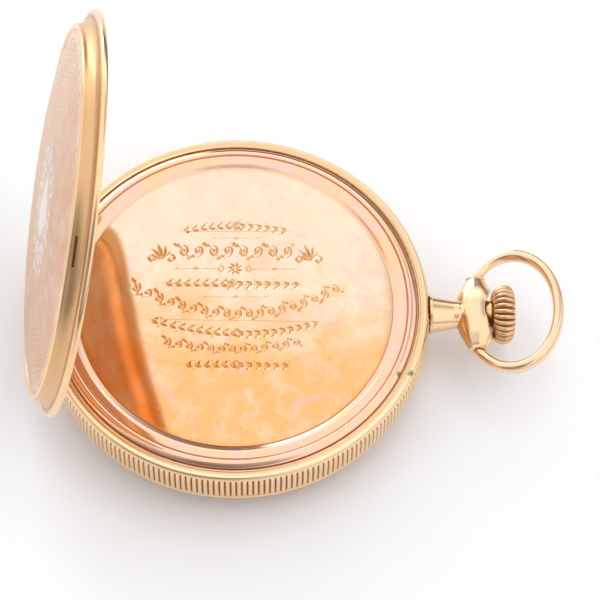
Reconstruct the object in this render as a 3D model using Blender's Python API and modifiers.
"""Hunter pocket watch, 16 size, lying dial down with its outer back cover open.

World frame: metres, +Z up.  Origin at the centre of the flat the watch rests on,
on its closed front cover, under the centre of the case band, +X to the pendant
(3 o'clock), -X to the hinges (9 o'clock), +Z to the back of the watch, -Z to the
dial.  The pieces are built about the band's mid-plane, in millimetres scaled by
MILLIMETRE, and the empty that carries them all then lifts them by REST_Z.

Conventions: angles are degrees from +X about +Z.  A turned profile is a table of
(radius, height along the turning axis).  An outline is a loop of (x, y) points.
A span is (lowest, highest).
"""
import math

import bmesh
import bpy
from mathutils import Matrix, Vector

MILLIMETRE = 0.001

# ------------------------------------------------------------------ case dimensions (mm)
CASE_R = 26.0             # outer radius of the case band
BAND_HALF = 2.45          # half height of the band's outer wall
LAND_Z = 2.75             # lands that the two covers close on
LAND_R = 25.3             # outer radius of the lands
CAVITY_R = 21.8           # bore that takes the movement
LEDGE_Z = 2.0             # ledges that carry the cuvette and the bezel
CHANNEL_R = 23.6          # channel inside the band, for the case springs
CHANNEL_HALF = 1.45

LIP_Z = 2.80              # lip plane of a closed cover
COVER_R = 25.63           # outer radius of a cover at its lip
COVER_RISE = 4.4          # lip to the top of the dome
COVER_WALL = 0.42
DOME_DROP = 1.9           # fall of the dome from its flat to its edge
DOME_FLAT_R = 6.0
REST_Z = LIP_Z + COVER_RISE   # band's mid-plane above the face the watch rests on

HINGE_X = -24.55          # hinge axes, parallel to Y
HINGE_Z = 2.0             # + for the back, - for the front
KNUCKLE_R = 0.75
KNUCKLE_BORE = 0.45
PIN_R = 0.34
BACK_OPEN = 77.56         # degrees the back cover stands open

PENDANT_X = 32.5          # bow pivot axis
EAR_Y = 5.35              # outer face of an ear
CROWN_R = 4.02
BOW_TILT = 13.0           # degrees the bow leans up from the band's mid-plane

# ------------------------------------------------------------------ movement levels (mm)
PLATE_R = 21.4
PLATE_SPAN = (-2.1, -0.6)
BRIDGE_Z0 = 1.2           # underside of the barrel and train bridges
BRIDGE_R = 20.0
BARREL_BRIDGE_TOP = 1.6
TRAIN_BRIDGE_TOP = 2.0
COCK_TOP = 2.1
PALLET_BRIDGE_TOP = 0.2
SEAT_GAP = 0.02           # between a foot or screw head and its seat
FOOT_Z0 = PLATE_SPAN[1] + SEAT_GAP
MOTION_SPAN = (-2.45, -2.16)     # cannon and minute wheel teeth
ESCAPEMENT_SPAN = (-0.5, -0.38)  # escape wheel and pallet fork
WINDING_SPAN = (1.66, 2.04)      # crown and ratchet wheels
LEVER_SPAN = (-0.18, 0.18)       # setting and clutch levers

SCREW_HOLE_R = 0.52
PIVOT_HOLE_R = 0.3
STEM_BORE = 0.66          # bore of the winding pinion and the clutch

# ------------------------------------------------------------------ gearing
# wheel modules (mm)
BARREL_MODULE, CENTRE_MODULE, THIRD_MODULE, FOURTH_MODULE = 0.215, 0.14, 0.12, 0.10
MOTION_MODULE, HOUR_MODULE, WINDING_MODULE = 0.15, 0.144, 0.2
WINDING_PINION_MODULE = 0.148
# tooth counts
BARREL_TEETH, CENTRE_PINION_TEETH = 78, 12
CENTRE_TEETH, THIRD_PINION_TEETH = 80, 10
THIRD_TEETH, FOURTH_PINION_TEETH = 75, 10
FOURTH_TEETH, ESCAPE_PINION_TEETH = 80, 8
ESCAPE_TEETH = 15
CANNON_TEETH, MINUTE_TEETH, MINUTE_PINION_TEETH, HOUR_TEETH, SETTING_TEETH = 12, 36, 10, 40, 30
CROWN_WHEEL_TEETH, RATCHET_TEETH, WINDING_PINION_TEETH = 45, 55, 20
FINE_TEETH = 24           # wheels with more teeth than this get pointed ones


def polar(radius, angle, centre=(0.0, 0.0)):
    turn = math.radians(angle)
    return (centre[0] + radius * math.cos(turn), centre[1] + radius * math.sin(turn))


def bearing(start, end):
    """Direction from one place to another, in degrees."""
    return math.degrees(math.atan2(end[1] - start[1], end[0] - start[0]))


def mesh_distance(module, teeth, other_teeth):
    return 0.5 * module * (teeth + other_teeth)


def third_arbor():
    """Crossing of the third wheel's two mesh circles, on the pendant side."""
    from_centre = mesh_distance(CENTRE_MODULE, CENTRE_TEETH, THIRD_PINION_TEETH)
    from_fourth = mesh_distance(THIRD_MODULE, THIRD_TEETH, FOURTH_PINION_TEETH)
    y = (from_centre ** 2 - from_fourth ** 2 + FOURTH[1] ** 2) / (2.0 * FOURTH[1])
    return (math.sqrt(from_centre ** 2 - y ** 2), y)


# ------------------------------------------------------------------ places (x, y), mm
CENTRE = (0.0, 0.0)
BARREL = polar(mesh_distance(BARREL_MODULE, BARREL_TEETH, CENTRE_PINION_TEETH), -60.0)
FOURTH = (0.0, 9.8)
THIRD = third_arbor()
ESCAPE = polar(mesh_distance(FOURTH_MODULE, FOURTH_TEETH, ESCAPE_PINION_TEETH), 200.0, FOURTH)
BALANCE = (-12.0, 2.8)
LEVER_ANGLE = bearing(ESCAPE, BALANCE)
PALLET = polar(4.04, LEVER_ANGLE, ESCAPE)
CROWN_WHEEL = (10.3, 0.0)
MINUTE = (mesh_distance(MOTION_MODULE, CANNON_TEETH, MINUTE_TEETH), 0.0)
SETTING = (MINUTE[0] + mesh_distance(MOTION_MODULE, MINUTE_TEETH, SETTING_TEETH) + 0.02, 0.0)
COCK_FOOT = (-14.0, -10.0)
PALLET_FOOT = (-7.6, 11.6)
BARREL_BRIDGE_SCREWS = ((17.3, -6.5), (-3.5, -18.0))
TRAIN_BRIDGE_SCREWS = ((12.7, 12.7), (-7.7, 16.6))
CASE_SCREWS = (polar(20.75, 28.0), polar(20.75, -128.0))
CLICK = (11.98, -10.98)
SETTING_LEVER = (17.0, -3.4)
CLUTCH_LEVER = (13.2, 5.3)

# ------------------------------------------------------------------ scene and materials
for old in list(bpy.data.objects):
    bpy.data.objects.remove(old, do_unlink=True)

PARTS = bpy.data.collections.new("hunter_pocket_watch")
TOOLS = bpy.data.collections.new("cutters")
bpy.context.scene.collection.children.link(PARTS)
bpy.context.scene.collection.children.link(TOOLS)

# name: (base colour, roughness, metallic)
MATERIALS = {
    "gold": ((0.93, 0.66, 0.36), 0.16, 1.0),
    "gold_engraved": ((0.90, 0.68, 0.48), 0.34, 1.0),
    "nickel": ((0.78, 0.77, 0.74), 0.25, 1.0),
    "steel": ((0.60, 0.61, 0.63), 0.18, 1.0),
    "blued_steel": ((0.06, 0.10, 0.35), 0.2, 1.0),
    "brass": ((0.83, 0.64, 0.32), 0.28, 1.0),
    "enamel": ((0.95, 0.94, 0.90), 0.2, 0.0),
    "glass": ((0.95, 0.97, 0.97), 0.05, 0.0),
    "ruby": ((0.55, 0.03, 0.08), 0.1, 0.0),
}


def material(name):
    mat = bpy.data.materials.get(name)
    if mat is None:
        colour, roughness, metallic = MATERIALS[name]
        mat = bpy.data.materials.new(name)
        mat.use_nodes = True
        bsdf = mat.node_tree.nodes["Principled BSDF"]
        bsdf.inputs["Base Color"].default_value = (*colour, 1.0)
        bsdf.inputs["Roughness"].default_value = roughness
        bsdf.inputs["Metallic"].default_value = metallic
        mat.diffuse_color = (*colour, 1.0)
    return mat


def add(name, data, mat=None):
    """Link a new object: a part if it has a material, a helper shape if it has none."""
    obj = bpy.data.objects.new(name, data)
    if mat is None:
        TOOLS.objects.link(obj)
        obj.hide_render = True
        obj.display_type = "WIRE"
    else:
        PARTS.objects.link(obj)
        data.materials.append(material(mat))
    return obj


# ------------------------------------------------------------------ solids
def turned(name, profile, steps, mat=None, axis="Z", at=CENTRE):
    """A profile, run down its outer side, turned about an axis and moved to a place."""
    mesh = bpy.data.meshes.new(name)
    verts = [(radius * MILLIMETRE, 0.0, height * MILLIMETRE) for radius, height in profile]
    edges = [(i, i + 1) for i in range(len(profile) - 1)]
    if profile[0][0] > 0.0:             # off the axis, so the section is a closed loop
        edges.append((len(profile) - 1, 0))
    mesh.from_pydata(verts, edges, [])
    obj = add(name, mesh, mat)
    screw = obj.modifiers.new("turn", "SCREW")
    screw.axis = "Z"
    screw.angle = 2.0 * math.pi
    screw.steps = steps
    screw.render_steps = steps
    screw.use_merge_vertices = True
    screw.merge_threshold = 1e-7
    screw.use_smooth_shade = True
    if axis == "X":
        obj.rotation_euler = (0.0, math.pi / 2, 0.0)
    elif axis == "Y":
        obj.rotation_euler = (-math.pi / 2, 0.0, 0.0)
    obj.location = Vector(at).to_3d() * MILLIMETRE
    return obj


def rod(name, radius, span, steps, mat=None, axis="Z", at=CENTRE):
    low, high = span
    profile = [(0, high), (radius, high), (radius, low), (0, low)]
    return turned(name, profile, steps, mat, axis, at)


def tube(name, outer, inner, span, steps, mat=None, axis="Z"):
    low, high = span
    profile = [(outer, high), (outer, low), (inner, low), (inner, high)]
    return turned(name, profile, steps, mat, axis)


def bake(obj, mat=None):
    """Replace an object by a plain mesh object of its evaluated shape, in world space."""
    bpy.context.view_layer.update()
    depsgraph = bpy.context.evaluated_depsgraph_get()
    mesh = bpy.data.meshes.new_from_object(obj.evaluated_get(depsgraph))
    mesh.transform(obj.matrix_world)
    shape = bmesh.new()
    shape.from_mesh(mesh)
    bmesh.ops.remove_doubles(shape, verts=shape.verts, dist=2e-7)
    bmesh.ops.recalc_face_normals(shape, faces=shape.faces)
    shape.to_mesh(mesh)
    shape.free()
    name = obj.name
    bpy.data.objects.remove(obj, do_unlink=True)
    mesh.materials.clear()
    return add(name, mesh, mat)


def add_spline(curve, points):
    """A polyline of (x, y) points in mm."""
    spline = curve.splines.new("POLY")
    spline.points.add(len(points) - 1)
    for point, (x, y) in zip(spline.points, points):
        point.co = (x * MILLIMETRE, y * MILLIMETRE, 0.0, 1.0)
    return spline


def flat(name, outlines, span, mat=None):
    """A flat outline (the first loop) with holes (the others), over a span of Z."""
    low, high = span
    curve = bpy.data.curves.new(name, "CURVE")
    curve.dimensions = "2D"
    curve.fill_mode = "BOTH"
    curve.extrude = 0.5 * (high - low) * MILLIMETRE
    for loop in outlines:
        add_spline(curve, loop).use_cyclic_u = True
    obj = add(name, curve, mat)
    obj.location.z = 0.5 * (low + high) * MILLIMETRE
    return bake(obj, mat)


def xz_slab(name, outlines, span):
    """Outlines in the XZ plane; the span runs along -Y."""
    obj = flat(name, outlines, span)
    for vertex in obj.data.vertices:
        vertex.co = Vector((vertex.co.x, -vertex.co.z, vertex.co.y))
    obj.data.update()
    return obj


def block(name, x_span, y_span, z_span):
    """A box-shaped cutter."""
    spans = (x_span, y_span, z_span)
    size = [(high - low) * MILLIMETRE for low, high in spans]
    middle = [(low + high) / 2 * MILLIMETRE for low, high in spans]
    shape = bmesh.new()
    bmesh.ops.create_cube(shape, size=1.0)
    bmesh.ops.scale(shape, vec=size, verts=shape.verts)
    bmesh.ops.translate(shape, vec=middle, verts=shape.verts)
    mesh = bpy.data.meshes.new(name)
    shape.to_mesh(mesh)
    shape.free()
    return add(name, mesh)


def boolean(obj, others, operation):
    for other in others:
        mod = obj.modifiers.new(operation.lower() + "_" + other.name, "BOOLEAN")
        mod.operation = operation
        mod.solver = "EXACT"
        mod.object = other


def join(obj, *others):
    boolean(obj, others, "UNION")


def cut(obj, *others):
    boolean(obj, others, "DIFFERENCE")


# ------------------------------------------------------------------ outlines
def circle(centre, radius, count):
    return [polar(radius, 360.0 * i / count, centre) for i in range(count)]


def arc(centre, radius, start, end, count):
    return [polar(radius, start + (end - start) * i / count, centre) for i in range(count + 1)]


def strip(inner, outer, start, end, count):
    """Part of a ring about the watch's centre."""
    return arc(CENTRE, outer, start, end, count) + arc(CENTRE, inner, end, start, count)


def hull(centre, radius, other, other_radius, count):
    """Two circles and their common tangents."""
    base = bearing(centre, other)
    distance = math.hypot(other[0] - centre[0], other[1] - centre[1])
    tangent = math.degrees(math.acos((radius - other_radius) / distance))
    return (arc(centre, radius, base + tangent, base + 360 - tangent, count)
            + arc(other, other_radius, base - tangent, base + tangent, count))


def place(points, origin, angle):
    """Points given as (along, across) a direction, moved to an origin."""
    cosine, sine = math.cos(math.radians(angle)), math.sin(math.radians(angle))
    return [(origin[0] + along * cosine - across * sine,
             origin[1] + along * sine + across * cosine) for along, across in points]


def gear(teeth, module, centre=CENTRE, phase=0.0):
    """A small gear, tooth 0 centred at phase."""
    pitch_r = 0.5 * module * teeth
    tip_r, root_r = pitch_r + 0.35 * module, pitch_r - 0.95 * module
    step = 360.0 / teeth
    corners = (0.0,) if teeth > FINE_TEETH else (-0.13, 0.13)   # of a tip, in tooth steps
    points = []
    for i in range(teeth):
        angle = phase + i * step
        points.append(polar(root_r, angle - 0.5 * step, centre))
        points += [polar(tip_r, angle + corner * step, centre) for corner in corners]
    return points


def mesh_phase(centre, teeth, phase, other, other_teeth):
    """Phase of the other gear that puts its gap on a tooth, on the line of centres."""
    line = bearing(centre, other)
    fraction = ((line - phase) * teeth / 360.0) % 1.0
    return line + 180.0 - (0.5 - fraction) * 360.0 / other_teeth


def crossings(centre, inner, outer, count, gap=14.0):
    """Openings between a wheel's arms; gap is an arm's angle at the outer radius."""
    inset = gap * 0.5 * (outer / inner - 1.0) * 0.5
    loops = []
    for k in range(count):
        start = 360.0 * k / count + gap / 2
        end = 360.0 * (k + 1) / count - gap / 2
        loops.append(arc(centre, outer, start, end, 3)
                     + [polar(inner, end - inset, centre), polar(inner, start + inset, centre)])
    return loops


def spiral(centre, inner, outer, turns, steps_per_turn, width, start=0.0):
    """A spiral strip of constant width."""
    steps = int(turns * steps_per_turn)
    far_edge, near_edge = [], []
    for i in range(steps + 1):
        share = i / steps
        angle = start + 360.0 * turns * share
        radius = inner + (outer - inner) * share
        far_edge.append(polar(radius + width / 2, angle, centre))
        near_edge.append(polar(radius - width / 2, angle, centre))
    return far_edge + near_edge[::-1]


# ------------------------------------------------------------------ joints
def pivot(name, x, z=0.0):
    """An empty on a joint's axis; its children turn or slide with it."""
    empty = bpy.data.objects.new(name, None)
    empty.empty_display_size = 0.002
    empty.location = (x * MILLIMETRE, 0.0, z * MILLIMETRE)
    PARTS.objects.link(empty)
    return empty


def hang(empty, *objs):
    """Parent objects, built in the closed position in world space, to a pivot."""
    for obj in objs:
        base = obj.matrix_basis.copy()
        obj.parent = empty
        obj.matrix_basis = Matrix.Translation(-Vector(empty.location)) @ base


def hang_tree(empty, obj):
    """Parent a part and the shapes cut from it or joined to it."""
    hang(empty, obj, *[mod.object for mod in obj.modifiers if mod.type == "BOOLEAN"])


# ------------------------------------------------------------------ hinges
# (side, span): side 1 is the back hinge, -1 the front hinge
BAND_KNUCKLES = (
    (1, (-7.2, -5.1)), (1, (-0.9, 0.9)), (1, (5.1, 7.2)),
    (-1, (-7.2, -4.2)), (-1, (-1.4, 1.4)), (-1, (4.2, 7.2)))
BACK_KNUCKLES = ((-4.95, -3.05), (3.05, 4.95))
FRONT_KNUCKLES = ((-4.05, -1.55), (1.55, 4.05))
CUVETTE_KNUCKLES = ((-2.95, -1.05), (1.05, 2.95))
LEAF_SPREAD = 34.0        # half angle at which the leaf leaves the barrel
LEAF_REACH = 0.62
RECESS_R = 0.86           # inboard clearance round a knuckle
RECESS_SWEEP_R = 1.65     # outboard clearance for a cover's lip
RECESS_TOP = 1.3          # recess beyond the hinge axis, away from the mid-plane


def knuckle(name, axis_z, span, tail):
    """One bored barrel with a leaf that runs out along tail (degrees in XZ)."""
    centre = (HINGE_X, axis_z)
    reach = polar(LEAF_REACH, tail)
    leaf = [polar(KNUCKLE_R, tail + side * LEAF_SPREAD, centre) for side in (-1, 1)]
    loop = arc(centre, KNUCKLE_R, tail + LEAF_SPREAD, tail + 360.0 - LEAF_SPREAD, 8)
    loop += [(x + reach[0], z + reach[1]) for x, z in leaf]
    return xz_slab(name, [loop, circle(centre, KNUCKLE_BORE, 8)], span)


def join_knuckles(obj, spans, tail):
    for i, span in enumerate(spans):
        join(obj, knuckle("%s_knuckle_%d" % (obj.name, i), HINGE_Z, span, tail))


def hinge_recess(name, side):
    """Clearance in the band round one hinge."""
    axis = (HINGE_X, 0.0)
    points = arc(axis, RECESS_R, -90, 0, 6)
    points += [(HINGE_X + RECESS_R, RECESS_TOP), (HINGE_X - 2.2, RECESS_TOP)]
    points += arc(axis, RECESS_SWEEP_R, 180, 270, 6)
    # heights are measured from the axis, away from the mid-plane; the front
    # recess is mirrored, and reversed to run the same way round
    points = [(x, side * HINGE_Z + side * height) for x, height in points]
    return xz_slab(name, [points[::side]], (-7.4, 7.4))


# ------------------------------------------------------------------ case
def build_band():
    profile = [
        (LAND_R, LAND_Z), (CASE_R, BAND_HALF), (CASE_R, -BAND_HALF), (LAND_R, -LAND_Z),
        (23.8, -LAND_Z), (23.8, -LEDGE_Z), (CAVITY_R, -LEDGE_Z), (CAVITY_R, -CHANNEL_HALF),
        (CHANNEL_R, -CHANNEL_HALF), (CHANNEL_R, CHANNEL_HALF), (CAVITY_R, CHANNEL_HALF),
        (CAVITY_R, LEDGE_Z), (24.45, LEDGE_Z), (24.45, LAND_Z)]
    band = turned("case_center", profile, 36, "gold")
    cut(band, hinge_recess("recess_back", 1), hinge_recess("recess_front", -1),
        rod("pendant_hole", 1.92, (20.0, 28.0), 20, axis="X"))
    for i, (side, span) in enumerate(BAND_KNUCKLES, 1):
        join(band, knuckle("band_knuckle_%d" % i, side * HINGE_Z, span, -45.0 * side))


def build_hinge_pins():
    for name, side in (("back_hinge_pin", 1), ("front_hinge_pin", -1)):
        rod(name, PIN_R, (-7.1, 7.1), 12, "gold", "Y", (HINGE_X, 0, side * HINGE_Z))


def build_cover(name, knuckle_spans):
    """An outer cover: domed face, beaded and coved rim, hinge knuckles, nail slot."""
    dome_edge = COVER_RISE - DOME_DROP
    dome = [(radius, LIP_Z + dome_edge
             + DOME_DROP * (1 - (max(radius - DOME_FLAT_R, 0.0) / 16.9) ** 2))
            for radius in (DOME_FLAT_R, 12.5, 18.5, 22.9)]
    inside = [(radius, height - COVER_WALL) for radius, height in dome[:-1]]
    # (radius, height above the lip plane), from the dome round the lip to the inside
    rim = [(23.4, 2.62), (23.85, 1.6), (24.5, 0.8), (COVER_R, 0.45), (COVER_R, 0.0),
           (24.75, 0.0), (23.7, 0.9), (23.25, 1.85)]
    profile = [(0, LIP_Z + COVER_RISE)] + dome
    profile += [(radius, LIP_Z + height) for radius, height in rim]
    profile += inside[::-1] + [(0, LIP_Z + COVER_RISE - COVER_WALL)]
    shell = turned(name, profile, 32, "gold_engraved")
    # the slot lies between bead and cove, 41 degrees from the free end
    cut(shell, flat(name + "_nail_slot", [strip(23.45, 24.6, -45.5, -36.5, 4)],
                    (LIP_Z + 1.85, LIP_Z + 2.15)))
    join_knuckles(shell, knuckle_spans, 118.0)
    axis = pivot(name + "_axis", HINGE_X, HINGE_Z)
    hang_tree(axis, shell)
    return axis


def build_covers():
    back_axis = build_cover("back_cover", BACK_KNUCKLES)
    back_axis.rotation_euler = (0.0, -math.radians(BACK_OPEN), 0.0)
    # built like the back cover, then turned over about X onto the dial-side hinge
    front_axis = build_cover("front_cover", FRONT_KNUCKLES)
    front_axis.location.z = -HINGE_Z * MILLIMETRE
    front_axis.rotation_euler = (math.pi, 0.0, 0.0)


def build_cuvette():
    """Inner back cover."""
    profile = [
        (0, 3.35), (10, 3.22), (20.9, 2.80), (21.8, 3.05), (22.9, 3.0), (23.0, 3.1),
        (24.0, 3.1), (24.3, 2.9), (24.3, 2.12), (23.7, 2.12), (23.6, 2.75), (21.7, 2.72),
        (20.9, 2.47), (10, 2.9), (0, 3.03)]
    cuvette = turned("cuvette", profile, 32, "gold")
    cut(cuvette, block("cuvette_trim", (-26.0, -23.6), (-8.0, 8.0), (1.5, 4.0)))
    join_knuckles(cuvette, CUVETTE_KNUCKLES, 38.0)
    hang_tree(pivot("cuvette_axis", HINGE_X, HINGE_Z), cuvette)


# ------------------------------------------------------------------ pendant, bow and crown
def build_pendant():
    # head: a spindle along Y, drawn out to the two ears; (radius, y), ear to middle
    half = [(0.9, EAR_Y), (0.98, 5.3), (1.12, 4.9), (1.42, 4.2), (1.85, 3.2), (2.2, 1.9),
            (2.35, 0.0)]
    profile = [(0, EAR_Y)] + half + [(radius, -y) for radius, y in half[-2::-1]] + [(0, -EAR_Y)]
    head = turned("pendant", profile, 14, "gold", "Y")
    head.scale = (1.0, 1.25, 1.0)       # local Y becomes world Z: deeper in Z than in X
    head.location = (32.35 * MILLIMETRE, 0, 0)
    head = bake(head, "gold")
    # along X: (radius, x)
    neck = [(0, 31.2), (1.85, 31.2), (1.78, 30.1), (2.05, 28.4), (2.5, 26.08), (1.82, 26.08),
            (1.82, 22.6), (0, 22.6)]
    cup = [(0, 36.0), (3.6, 36.0), (3.3, 34.4), (3.0, 33.35), (2.2, 33.0), (0, 33.0)]
    join(head, turned("pendant_neck", neck, 16, axis="X"))
    cut(head, turned("pendant_cup", cup, 16, axis="X"),
        rod("pendant_bore", 1.3, (22.0, 34.0), 12, axis="X"),
        block("pendant_trim", (34.45, 37.0), (-6, 6), (-5, 5)))
    for i, side in ((1, 1), (2, -1)):
        cut(head, rod("ear_hole_%d" % i, 0.72, (-0.9, 0.9), 12, axis="Y",
                      at=(PENDANT_X, side * 5.3, 0)))
    tube("pendant_sleeve", 1.15, 0.75, (23.0, 32.6), 16, "steel", "X")


def build_bow():
    """A wire on an ellipse, its two ends turned into the ears; x is from the pivot axis."""
    semi_x, semi_y, ellipse_x = 6.15, 8.45, 4.75
    segments = 18
    end_angle = math.degrees(math.acos(-3.65 / semi_x))
    inturned = [(0.0, 4.75), (0.0, EAR_Y), (0.25, 5.9)]
    path = list(inturned)
    for i in range(segments + 1):
        turn = math.radians(end_angle - 2 * end_angle * i / segments)
        path.append((ellipse_x + semi_x * math.cos(turn), semi_y * math.sin(turn)))
    path += [(x, -y) for x, y in inturned[::-1]]

    curve = bpy.data.curves.new("bow", "CURVE")
    curve.dimensions = "3D"
    curve.bevel_depth = 1.0 * MILLIMETRE    # so a point's radius is the wire's, in mm
    curve.bevel_resolution = 1
    curve.use_fill_caps = True
    for i, point in enumerate(add_spline(curve, path).points):
        from_end = min(i, len(path) - 1 - i)
        if from_end < 2:
            point.radius = 0.6
        elif from_end == 2:
            point.radius = 0.64
        else:
            point.radius = min(0.80, 0.66 + 0.03 * (from_end - 2))
    curve.twist_mode = "Z_UP"
    bow = bake(add("bow", curve, "gold"), "gold")
    axis = pivot("bow_axis", PENDANT_X)
    axis.rotation_euler = (0.0, -math.radians(BOW_TILT), 0.0)
    bow.parent = axis


def build_crown():
    """Crown and winding stem, along X."""
    crown = [
        (0, 37.45), (2.6, 37.45), (3.4, 37.2), (3.85, 36.7), (CROWN_R, 36.1), (3.95, 35.7),
        (3.65, 35.2), (3.25, 34.85), (2.9, 34.6), (2.3, 34.4), (1.0, 34.4), (1.0, 33.2),
        (0.64, 33.2), (0.64, 36.2), (0, 36.2)]
    stem = [(0, 36.1), (0.55, 36.1), (0.55, 17.1), (0.32, 17.1), (0.32, 16.1), (0.55, 16.1),
            (0.55, 11.3), (0, 11.3)]
    hang(pivot("crown_axis", 16), turned("crown", crown, 20, "gold", "X"),
         turned("winding_stem", stem, 12, "steel", "X"))


# ------------------------------------------------------------------ dial side
def build_bezel_and_crystal():
    bezel = [(23.6, -2.1), (23.6, -3.2), (22.7, -4.3), (21.9, -4.45), (21.9, -3.95),
             (21.2, -3.85), (21.2, -3.4), (22.0, -2.9), (22.0, -2.1)]
    turned("bezel", bezel, 32, "gold")
    # two shallow paraboloids: the inner face towards the dial, the outer face below it
    inner_z, outer_z = -4.9, -5.6
    inner_r, outer_r = 21.3, 21.75
    inner = [(radius, inner_z + 0.86 * (radius / inner_r) ** 2) for radius in (8.0, 15.0, inner_r)]
    outer = [(radius, outer_z + 1.28 * (radius / outer_r) ** 2) for radius in (outer_r, 15.0, 8.0)]
    turned("crystal", [(0, inner_z)] + inner + [(outer_r, -4.04)] + outer + [(0, outer_z)],
           28, "glass")


def build_dial():
    flat("dial", [circle(CENTRE, 20.6, 40), circle(CENTRE, 1.15, 12), circle(FOURTH, 0.4, 10)],
         (-3.4, -2.9), "enamel")


def build_motion_work():
    cannon_bore = 0.47
    cannon = tube("cannon_pinion", 0.62, cannon_bore, (-4.15, -2.3), 12, "steel")
    join(cannon, flat("cannon_teeth", [gear(CANNON_TEETH, MOTION_MODULE)], MOTION_SPAN))
    cut(cannon, rod("cannon_boss", cannon_bore, (-2.5, -2.0), 12))

    minute_phase = mesh_phase(CENTRE, CANNON_TEETH, 0.0, MINUTE, MINUTE_TEETH)
    bore = circle(MINUTE, 0.3, 10)
    minute = flat("minute_wheel", [gear(MINUTE_TEETH, MOTION_MODULE, MINUTE, minute_phase), bore],
                  MOTION_SPAN, "brass")
    join(minute, flat("minute_pinion", [gear(MINUTE_PINION_TEETH, HOUR_MODULE, MINUTE), bore],
                      (-2.85, -2.4)))

    hour_phase = mesh_phase(MINUTE, MINUTE_PINION_TEETH, 0.0, CENTRE, HOUR_TEETH)
    hour_bore = 0.72
    hour = flat("hour_wheel", [gear(HOUR_TEETH, HOUR_MODULE, CENTRE, hour_phase),
                               circle(CENTRE, hour_bore, 12)], (-2.78, -2.52), "brass")
    join(hour, tube("hour_pipe", 0.98, hour_bore, (-3.8, -2.6), 12))

    setting_phase = mesh_phase(MINUTE, MINUTE_TEETH, minute_phase, SETTING, SETTING_TEETH)
    flat("setting_wheel", [gear(SETTING_TEETH, MOTION_MODULE, SETTING, setting_phase),
                           circle(SETTING, 0.45, 10)], (-2.45, -1.5), "steel")


# name, centre, bore, boss radius, length, tail, width, angle, span
HANDS = (
    ("hour_hand", CENTRE, 1.03, 1.6, 10.6, 0.0, 0.45, 214.5, (-3.78, -3.64)),
    ("minute_hand", CENTRE, 0.67, 1.2, 16.6, 0.0, 0.34, -36.0, (-4.08, -3.94)),
    ("seconds_hand", FOURTH, 0.24, 0.55, 3.6, 1.4, 0.16, 120.0, (-3.56, -3.48)),
)


def build_hands():
    for name, centre, bore, boss, length, tail, width, angle, span in HANDS:
        outline = arc(centre, boss, angle + 25, angle + 155, 6)
        if tail > boss:
            outline += place([(-tail, width * 0.5), (-tail, -width * 0.5)], centre, angle)
        outline += arc(centre, boss, angle + 205, angle + 335, 6)
        # one edge of the blade, (along, across), swelling at two thirds of its length
        edge = [(boss + 0.3, width * 0.5), (length * 0.52, width * 0.8),
                (length * 0.66, width * 1.9), (length * 0.78, width * 0.7), (length, 0.06)]
        blade = [(along, -across) for along, across in edge] + edge[::-1]
        outline += place(blade, centre, angle)
        flat(name, [outline, circle(centre, bore, 16)], span, "blued_steel")


# ------------------------------------------------------------------ plate and bridges
def screw_hole(centre):
    return circle(centre, SCREW_HOLE_R, 6)


def pivot_hole(centre, radius=PIVOT_HOLE_R):
    return circle(centre, radius, 6)


def foot(name, centre, radius, count=14, top=BRIDGE_Z0 + 0.2):
    """A bored pillar from the plate up into a bridge."""
    return flat(name, [circle(centre, radius, count), screw_hole(centre)], (FOOT_Z0, top))


def join_feet(bridge, screws):
    for i, centre in enumerate(screws):
        join(bridge, foot("%s_foot_%d" % (bridge.name, i), centre, 1.7))


def build_pillar_plate():
    holes = [circle(CENTRE, 0.6, 12), pivot_hole(THIRD), pivot_hole(FOURTH, 0.36),
             pivot_hole(ESCAPE), pivot_hole(PALLET), pivot_hole(BALANCE, 0.34),
             circle(BARREL, 0.86, 12)]
    screws = [*BARREL_BRIDGE_SCREWS, *TRAIN_BRIDGE_SCREWS, COCK_FOOT, PALLET_FOOT, *CASE_SCREWS]
    holes += [screw_hole(centre) for centre in screws]
    plate = flat("pillar_plate", [circle(CENTRE, PLATE_R, 40)] + holes, PLATE_SPAN, "nickel")
    cut(plate, block("keyless_pocket", (10.2, 24.0), (-1.8, 1.8), (-1.8, 0.0)),
        rod("setting_well", 2.5, (-2.4, -0.3), 20, at=SETTING))


def build_barrel_bridge():
    outline = arc(CENTRE, BRIDGE_R, -113.0, 12.0, 22)
    outline += [(14.0, 5.15), (6.6, 4.6), (4.6, 2.4), (-2.0, 2.4), (-2.6, -1.0), (-4.0, -6.0),
                (-6.3, -13.0)]
    holes = [pivot_hole(CENTRE, 0.34), circle(BARREL, 0.86, 12), circle(CROWN_WHEEL, 0.8, 12),
             circle(CLICK, 0.42, 6)] + [screw_hole(centre) for centre in BARREL_BRIDGE_SCREWS]
    bridge = flat("barrel_bridge", [outline] + holes, (BRIDGE_Z0, BARREL_BRIDGE_TOP), "nickel")
    join_feet(bridge, BARREL_BRIDGE_SCREWS)
    cut(bridge, block("pinion_slot", (13.8, 15.6), (-1.25, 1.25), (0.9, 1.9)))


def build_train_bridge():
    outline = arc(CENTRE, BRIDGE_R, 18.5, 122.0, 18)
    outline += arc(BALANCE, 8.6, 74.0, 8.0, 10)      # clears the balance
    outline += [(-3.0, 2.7), (4.4, 2.7), (6.4, 4.9), (13.9, 5.45)]
    holes = [pivot_hole(centre) for centre in (THIRD, FOURTH, ESCAPE)]
    holes += [screw_hole(centre) for centre in TRAIN_BRIDGE_SCREWS]
    bridge = flat("train_bridge", [outline] + holes, (BRIDGE_Z0, TRAIN_BRIDGE_TOP), "nickel")
    join_feet(bridge, TRAIN_BRIDGE_SCREWS)


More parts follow.
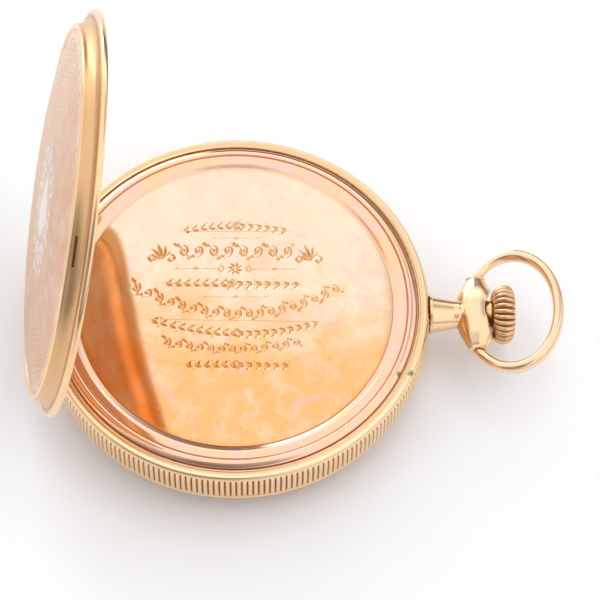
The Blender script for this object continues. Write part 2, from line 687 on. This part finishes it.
def build_balance_cock():
    cock = flat("balance_cock", [hull(BALANCE, 1.9, COCK_FOOT, 2.9, 9), pivot_hole(BALANCE, 0.34),
                                 screw_hole(COCK_FOOT)], (1.45, COCK_TOP), "nickel")
    join(cock, foot("cock_foot", COCK_FOOT, 2.75, 18, 1.6))


def build_pallet_bridge():
    bridge = flat("pallet_bridge", [hull(PALLET, 0.85, PALLET_FOOT, 1.15, 7), pivot_hole(PALLET),
                                    screw_hole(PALLET_FOOT)], (-0.08, PALLET_BRIDGE_TOP), "nickel")
    join(bridge, foot("pallet_foot", PALLET_FOOT, 1.1, 12, 0.0))


# name, centres, head radius, underside of the head; blued, numbered if there are several
PLATE_SCREWS = (
    ("barrel_bridge_screw", BARREL_BRIDGE_SCREWS, 1.0, BARREL_BRIDGE_TOP + SEAT_GAP, 0.3),
    ("train_bridge_screw", TRAIN_BRIDGE_SCREWS, 1.0, TRAIN_BRIDGE_TOP + SEAT_GAP, 0.3),
    ("balance_cock_screw", (COCK_FOOT,), 1.1, COCK_TOP + SEAT_GAP, 0.3),
    ("pallet_bridge_screw", (PALLET_FOOT,), 0.8, PALLET_BRIDGE_TOP + SEAT_GAP, 0.3),
    ("case_screw", CASE_SCREWS, 1.35, 2.05, 0.28),
)   # last column: head height
# name, centre, head radius, underside and height of the head, shank radius, shank bottom
WINDING_SCREWS = (
    ("crown_wheel_screw", CROWN_WHEEL, 1.6, 2.08, 0.22, 0.7, 1.25),
    ("ratchet_screw", BARREL, 1.3, 2.08, 0.22, 0.3, 1.35),
    ("click_screw", CLICK, 0.75, 1.98, 0.2, 0.32, 1.3),
)


def screw(name, centre, head_r, seat, head_height, shank_r, bottom, mat):
    profile = [(0, seat + head_height), (head_r, seat + head_height), (head_r, seat),
               (shank_r, seat), (shank_r, bottom), (0, bottom)]
    turned(name, profile, 8, mat, at=centre)


def build_screws():
    for name, centres, head_r, seat, head_height in PLATE_SCREWS:
        for i, centre in enumerate(centres, 1):
            full_name = "%s_%d" % (name, i) if len(centres) > 1 else name
            screw(full_name, centre, head_r, seat, head_height, 0.4, -1.6, "blued_steel")
    for row in WINDING_SCREWS:
        screw(*row, "steel")


# ------------------------------------------------------------------ going train
def train_wheel(name, centre, wheel, wheel_span, pinion, pinion_span, arbor, steps=6, mat="brass"):
    """A wheel (rim and openings), its pinion and its turned arbor, as one piece."""
    obj = flat(name + "_wheel", wheel, wheel_span, mat)
    join(obj, flat(name + "_pinion", [pinion], pinion_span),
         turned(name + "_arbor", arbor, steps, at=centre))


def build_centre_wheel():
    train_wheel(
        "centre", CENTRE,
        [gear(CENTRE_TEETH, CENTRE_MODULE)] + crossings(CENTRE, 1.9, 4.9, 5), (-0.45, -0.25),
        gear(CENTRE_PINION_TEETH, BARREL_MODULE), (-0.3, 1.0),
        [(0, 1.55), (0.22, 1.55), (0.22, 1.1), (0.45, 1.1), (0.45, -1.0), (0.4, -1.1),
         (0.4, -4.0), (0, -4.0)], steps=12)


def build_barrel():
    phase = mesh_phase(CENTRE, CENTRE_PINION_TEETH, 0.0, BARREL, BARREL_TEETH)
    drum = [(7.9, 1.05), (7.9, -0.1), (0.86, -0.1), (0.86, 0.08), (7.5, 0.08), (7.5, 1.05)]
    barrel = turned("mainspring_barrel", drum, 24, "brass", at=BARREL)
    join(barrel, flat("barrel_teeth", [gear(BARREL_TEETH, BARREL_MODULE, BARREL, phase),
                                       circle(BARREL, 7.7, 24)], (-0.1, 0.25)))
    flat("barrel_cover", [circle(BARREL, 7.35, 24), circle(BARREL, 0.9, 12)], (0.87, 1.04),
         "brass")
    # the top has a hollow round the ratchet screw's shank
    arbor = [(0, 1.2), (0.42, 1.2), (0.42, 2.0), (0.6, 2.0), (0.6, 1.7), (0.78, 1.6),
             (0.78, 0.8), (1.25, 0.78), (1.25, 0.16), (0.78, 0.14), (0.78, -1.6), (0, -1.6)]
    turned("barrel_arbor", arbor, 14, "steel", at=BARREL)
    flat("mainspring", [spiral(BARREL, 1.5, 7.3, 5.5, 11, 0.24)], (0.14, 0.8), "steel")


def build_third_wheel():
    phase = mesh_phase(CENTRE, CENTRE_TEETH, 0.0, THIRD, THIRD_PINION_TEETH)
    train_wheel(
        "third", THIRD,
        [gear(THIRD_TEETH, THIRD_MODULE, THIRD)] + crossings(THIRD, 1.1, 3.9, 4), (0.35, 0.5),
        gear(THIRD_PINION_TEETH, CENTRE_MODULE, THIRD, phase), (-0.54, -0.14),
        [(0, 1.9), (0.16, 1.9), (0.16, 1.1), (0.4, 1.05), (0.4, -0.5), (0.16, -0.58),
         (0.16, -1.2), (0, -1.2)])


def build_fourth_wheel():
    """Its lower pivot carries the seconds hand."""
    phase = mesh_phase(THIRD, THIRD_TEETH, 0.0, FOURTH, FOURTH_PINION_TEETH)
    train_wheel(
        "fourth", FOURTH,
        [gear(FOURTH_TEETH, FOURTH_MODULE, FOURTH)] + crossings(FOURTH, 1.1, 3.5, 4),
        (-0.15, 0.0),
        gear(FOURTH_PINION_TEETH, THIRD_MODULE, FOURTH, phase), (0.22, 0.66),
        [(0, 1.9), (0.16, 1.9), (0.16, 1.1), (0.36, 1.05), (0.36, -0.5), (0.2, -0.55),
         (0.2, -3.65), (0, -3.65)])


def build_escape_wheel():
    phase = mesh_phase(FOURTH, FOURTH_TEETH, 0.0, ESCAPE, ESCAPE_PINION_TEETH)
    # raked club tooth: (radius, angle from the tooth's own line)
    tooth = ((2.75, -10.0), (2.8, -3.5), (3.3, -1.0), (3.4, 2.4))
    rim = [polar(radius, i * 360.0 / ESCAPE_TEETH + 6.0 + offset, ESCAPE)
           for i in range(ESCAPE_TEETH) for radius, offset in tooth]
    train_wheel(
        "escape", ESCAPE,
        [rim] + crossings(ESCAPE, 0.9, 2.3, 4, gap=20.0), ESCAPEMENT_SPAN,
        gear(ESCAPE_PINION_TEETH, FOURTH_MODULE, ESCAPE, phase), (-0.42, 0.16),
        [(0, 1.9), (0.15, 1.9), (0.15, 1.1), (0.26, 1.05), (0.26, -0.54), (0.15, -0.58),
         (0.15, -1.2), (0, -1.2)], mat="steel")


def build_pallet_fork():
    # (along, across) the lever, from the pallet arbor towards the balance
    near_side = [(4.18, 0.55), (3.6, 0.5), (3.2, 0.16), (0.6, 0.22), (0.2, 0.55)]
    heel = [(-0.30, 0.3), (-0.30, -0.3)]
    notch = [(4.15, -0.22), (3.7, -0.2), (3.7, 0.2), (4.15, 0.22)]
    far_side = [(along, -across) for along, across in near_side[::-1]]
    # one pallet arm: (radius about the escape wheel, angle from the lever's line)
    arm = [(4.3, 24.0), (3.95, 33.0), (3.64, 30.0), (3.75, 22.0)]
    outline = place(near_side, PALLET, LEVER_ANGLE)
    outline += [polar(radius, LEVER_ANGLE + offset, ESCAPE) for radius, offset in arm]
    outline += place(heel, PALLET, LEVER_ANGLE)
    outline += [polar(radius, LEVER_ANGLE - offset, ESCAPE) for radius, offset in arm[::-1]]
    outline += place(far_side + notch, PALLET, LEVER_ANGLE)
    fork = flat("pallet_fork", [outline], ESCAPEMENT_SPAN, "steel")
    arbor = [(0, 0.15), (0.14, 0.15), (0.14, -0.14), (0.2, -0.18), (0.2, -0.54),
             (0.14, -0.58), (0.14, -1.2), (0, -1.2)]
    join(fork, turned("pallet_arbor", arbor, 6, at=PALLET))


def build_balance():
    openings = [arc(BALANCE, 7.35, start, start + 164.0, 12)
                + arc(BALANCE, 0.9, start + 130.0, start + 34.0, 4)
                for start in (LEVER_ANGLE + 8.0, LEVER_ANGLE + 188.0)]
    wheel = flat("balance_wheel", [circle(BALANCE, 8.0, 36)] + openings, (0.4, 0.9), "brass")
    staff = [(0, 2.05), (0.16, 2.05), (0.16, 1.42), (0.3, 1.35), (0.3, -0.05), (1.2, -0.1),
             (1.2, -0.24), (0.3, -0.28), (0.3, -0.52), (0.16, -0.57), (0.16, -1.4), (0, -1.4)]
    join(wheel, turned("balance_staff", staff, 14, at=BALANCE))
    flat("hairspring", [spiral(BALANCE, 0.75, 4.0, 5.0, 12, 0.13, 30.0)], (1.08, 1.3),
         "blued_steel")


def build_regulator():
    """Regulator and cap jewel on the cock; the regulator points to the cock's foot."""
    low = 2.13
    line = bearing(BALANCE, COCK_FOOT)
    outline = arc(BALANCE, 1.5, line + 12.0, line + 348.0, 14)
    outline += [polar(radius, line + offset, BALANCE)
                for radius, offset in ((7.2, -0.9), (7.6, 0.0), (7.2, 0.9))]
    flat("regulator", [outline, circle(BALANCE, 1.0, 14)], (low, 2.3), "steel")
    rod("balance_cap", 0.9, (low, 2.34), 14, "ruby", at=BALANCE)


# ------------------------------------------------------------------ winding and setting
def build_winding_wheels():
    flat("crown_wheel", [gear(CROWN_WHEEL_TEETH, WINDING_MODULE, CROWN_WHEEL),
                         circle(CROWN_WHEEL, 0.8, 14)], WINDING_SPAN, "steel")
    phase = mesh_phase(CROWN_WHEEL, CROWN_WHEEL_TEETH, 0.0, BARREL, RATCHET_TEETH)
    flat("ratchet_wheel", [gear(RATCHET_TEETH, WINDING_MODULE, BARREL, phase),
                           circle(BARREL, 0.63, 14)], WINDING_SPAN, "steel")


def build_click():
    """Click beside the ratchet wheel, and its spring."""
    line = bearing(CLICK, BARREL)
    tip_angle = bearing(BARREL, (CLICK[0] + 0.5, CLICK[1] + 3.0))
    tip = polar(0.5 * WINDING_MODULE * RATCHET_TEETH + 0.18, tip_angle, BARREL)
    low = WINDING_SPAN[0]
    flat("click", [arc(CLICK, 0.95, line + 60.0, line + 300.0, 10) + [tip],
                   circle(CLICK, 0.42, 10)], (low, 1.94), "steel")
    flat("click_spring", [strip(18.9, 19.25, -78.0, -46.0, 8)], (low, 1.9), "steel")


def build_stem_pieces():
    """Winding pinion and clutch, on the stem's axis."""
    pinion = flat("winding_pinion", [gear(WINDING_PINION_TEETH, WINDING_PINION_MODULE),
                                     circle(CENTRE, STEM_BORE, 12)], (14.0, 15.4), "steel")
    for vertex in pinion.data.vertices:     # the thickness becomes X
        vertex.co = Vector((vertex.co.z, vertex.co.x, vertex.co.y))
    pinion.data.update()
    hang(pivot("winding_pinion_axis", 14.7), pinion)
    clutch = [(1.15, 13.7), (1.15, 12.95), (0.9, 12.95), (0.9, 12.35), (1.15, 12.35),
              (1.15, 11.75), (STEM_BORE, 11.75), (STEM_BORE, 13.7)]
    hang(pivot("clutch_axis", 12.6), turned("clutch", clutch, 14, "steel", "X"))


def lever(name, outline, centre):
    obj = flat(name, [outline], LEVER_SPAN, "steel")
    join(obj, rod(name + "_stud", 0.45, (-0.52, 0.3), 10, at=centre))


def build_levers():
    lever("setting_lever", [(16.78, -0.42), (16.45, -0.42), (16.3, -2.0)]
          + arc(SETTING_LEVER, 0.9, 180.0, 400.0, 8) + [(16.9, -2.0)], SETTING_LEVER)
    lever("clutch_lever", [(12.85, 1.02), (12.45, 1.02), (12.4, 2.2), (12.5, 4.2)]
          + arc(CLUTCH_LEVER, 0.9, 200.0, -20.0, 8) + [(13.6, 4.2), (12.95, 2.2)], CLUTCH_LEVER)


def build_case_springs():
    """Two curved strips in the band's channel."""
    for name, start, end in (("lock_spring", 9.0, 70.0), ("lift_spring", 110.0, 170.0)):
        flat(name, [strip(22.5, 22.95, start, end, 12)], (-0.95, 0.95), "steel")


# ------------------------------------------------------------------ assembly
def build_watch():
    for build in (
            build_band, build_hinge_pins, build_covers, build_cuvette,
            build_pendant, build_bow, build_crown,
            build_bezel_and_crystal, build_dial, build_motion_work, build_hands,
            build_pillar_plate, build_barrel_bridge, build_train_bridge,
            build_balance_cock, build_pallet_bridge, build_screws,
            build_centre_wheel, build_barrel, build_third_wheel, build_fourth_wheel,
            build_escape_wheel, build_pallet_fork, build_balance, build_regulator,
            build_winding_wheels, build_click, build_stem_pieces, build_levers,
            build_case_springs):
        build()

    watch = pivot("watch", 0, REST_Z)
    for obj in list(PARTS.objects) + list(TOOLS.objects):
        if obj.parent is None and obj is not watch:
            obj.parent = watch

    for obj in PARTS.objects:
        if obj.type == "MESH" and not obj.modifiers:
            obj.data.shade_smooth()
            obj.data.set_sharp_from_angle(angle=math.radians(30))
    bpy.context.view_layer.update()


build_watch()
